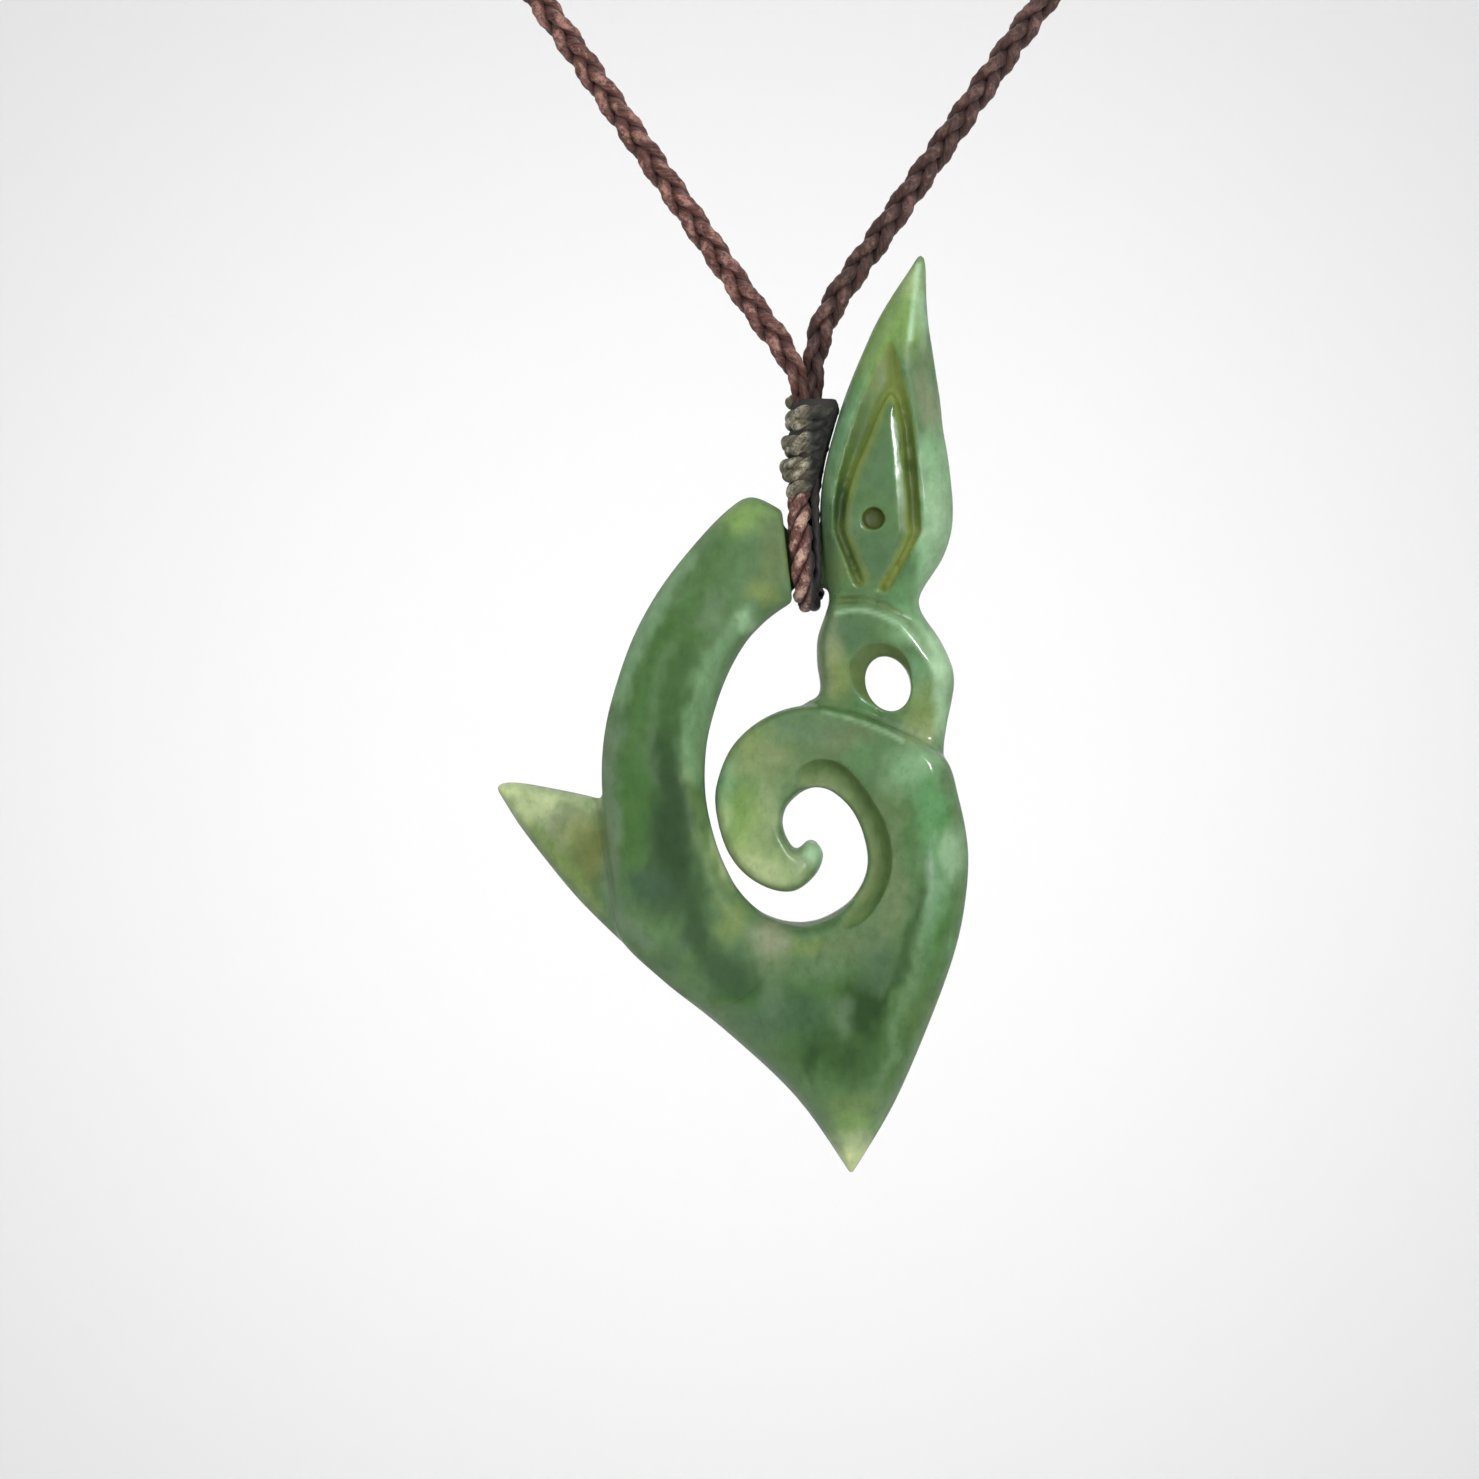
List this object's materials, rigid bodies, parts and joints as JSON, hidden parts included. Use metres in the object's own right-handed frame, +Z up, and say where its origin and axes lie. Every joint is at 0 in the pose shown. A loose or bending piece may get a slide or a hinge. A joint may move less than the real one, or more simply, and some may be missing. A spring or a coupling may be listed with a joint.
{
  "type": "carved stone manaia pendant on a plaited cord",
  "caption": "Flat carved green stone manaia with a curl, an arm and a barb, hung by a cord loop and a thread binding from a plaited neck cord.",
  "frame": {"origin": "the point at the nape of the neck where the knot of the neck cord rests", "axes": "+X to the viewer's right, +Y to the back, +Z up; the front of the stone faces -Y"},
  "size_m": [0.1298, 0.1205, 0.1958],
  "materials": {
    "jade": "polished translucent green stone, clouded dark and pale",
    "loop_cord": "waxed red-brown twisted cord",
    "binding_thread": "waxed olive-grey thread, wound",
    "plait_cord": "waxed dark brown cord, plaited"
  },
  "bodies": {
    "necklace": {"neck_cord_left": "plait_cord", "neck_cord_right": "plait_cord", "nape_knot": "plait_cord", "binding": "binding_thread", "hanging_loop": "loop_cord"},
    "pendant": {"stone": "jade"}
  },
  "joints": [
    {"name": "pendant_swing", "type": "hinge", "parent": "necklace", "child": "pendant", "pos_m": [0.0012, -0.112, -0.14718], "axis": [1, 0, 0], "range_deg": [-12, 12]}
  ]
}
